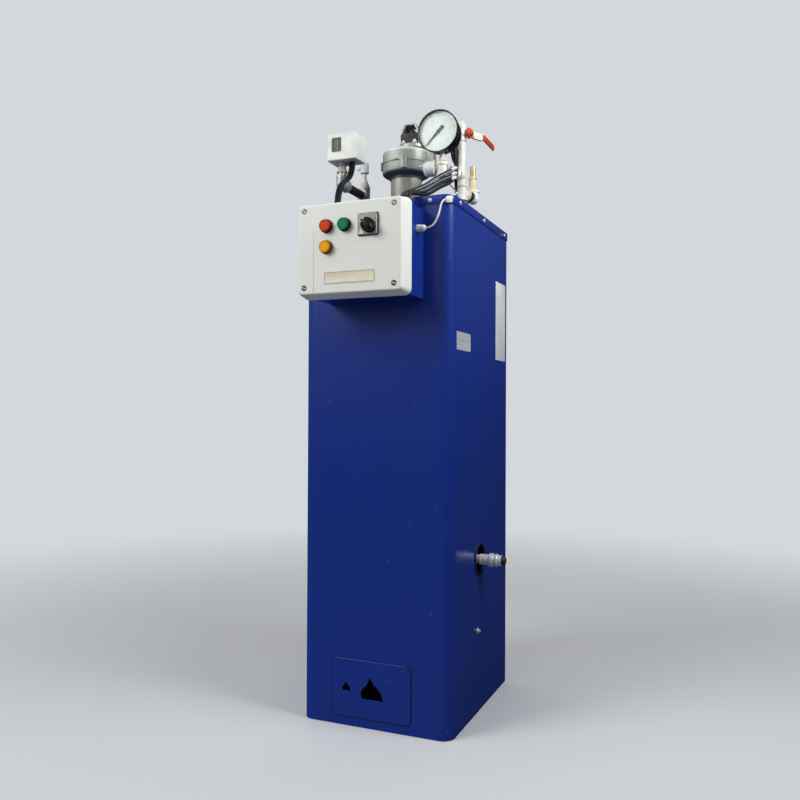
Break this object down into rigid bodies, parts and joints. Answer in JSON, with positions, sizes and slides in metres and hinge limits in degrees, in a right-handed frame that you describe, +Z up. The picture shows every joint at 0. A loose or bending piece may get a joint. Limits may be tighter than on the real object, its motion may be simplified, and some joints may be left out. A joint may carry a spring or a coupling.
{
  "type": "steam boiler",
  "caption": "Tall narrow gas steam boiler in a blue sheet cabinet with a control unit on its front and a flue fan, pressure gauge, pressure switch and valve on its lid",
  "frame": {"origin": "centre of the cabinet's footprint on the floor", "axes": "+Z up, the control unit faces -Y, +X to the viewer's right"},
  "size_m": [0.437, 0.6105, 1.437],
  "materials": {
    "blue_paint": "gloss",
    "black_steel": "matt",
    "boiler_plate": "matt",
    "cast_iron": "matt",
    "enclosure_plastic": "satin",
    "red_plastic": "gloss",
    "green_plastic": "gloss",
    "amber_plastic": "gloss",
    "grey_plastic": "satin",
    "black_plastic": "satin",
    "galvanised_pipe": "satin",
    "cast_aluminium": "cast",
    "motor_core": "matt",
    "zinc_plate": "satin",
    "white_paint": "gloss",
    "rusty_steel": "rough",
    "dial_white": "matt",
    "black_case": "gloss",
    "gauge_glass": "clear",
    "lever_red": "gloss",
    "brass": "dull",
    "white_plastic": "satin",
    "cable_black": "satin"
  },
  "bodies": {
    "boiler": {"base_pan": "black_steel", "front_panel": "blue_paint", "right_panel": "blue_paint", "left_panel": "blue_paint", "back_panel": "blue_paint", "top_lid": "blue_paint", "burner_cover": "blue_paint", "burner": "cast_iron", "boiler_drum": "boiler_plate", "drum_legs": "boiler_plate", "control_housing": "blue_paint", "control_base": "enclosure_plastic", "control_lid": "enclosure_plastic", "red_lamp": "red_plastic", "green_lamp": "green_plastic", "amber_lamp": "amber_plastic", "selector_plate": "grey_plastic", "flue_pipe": "galvanised_pipe", "fan_lower_casing": "cast_aluminium", "fan_upper_casing": "cast_aluminium", "motor_frame": "zinc_plate", "fan_motor": "motor_core", "gauge_nipple": "white_paint", "gauge_tee": "white_paint", "tee_plug": "white_plastic", "gauge_case": "black_case", "gauge_dial": "dial_white", "gauge_needle": "black_steel", "gauge_glass": "gauge_glass", "stand_pipe": "white_paint", "stand_tee": "white_paint", "valve_body": "white_paint", "outlet_nipple": "rusty_steel", "outlet_elbow": "white_paint", "outlet_pipe": "white_paint", "outlet_nozzle": "brass", "switch_riser": "galvanised_pipe", "switch_tee": "galvanised_pipe", "switch_nipple": "rusty_steel", "switch_elbow": "galvanised_pipe", "switch_neck": "zinc_plate", "pressure_switch": "white_plastic", "vent_valve": "white_paint", "feed_rim": "black_steel", "feed_nozzle": "zinc_plate", "cable_glands": "white_plastic", "switch_cables": "cable_black", "main_cables": "cable_black", "cable_clip": "white_plastic", "signal_cable": "white_plastic"},
    "valve_lever": {"valve_lever": "lever_red"},
    "selector_knob": {"selector_knob": "black_plastic"}
  },
  "joints": [
    {"name": "valve_turn", "type": "hinge", "parent": "boiler", "child": "valve_lever", "pos_m": [0.155, -0.012, 1.402], "axis": [1, 0, 0], "range_deg": [0, 90]},
    {"name": "selector_turn", "type": "hinge", "parent": "boiler", "child": "selector_knob", "pos_m": [0.047, -0.37, 1.114], "axis": [0, -1, 0], "range_deg": [-45, 45]}
  ]
}
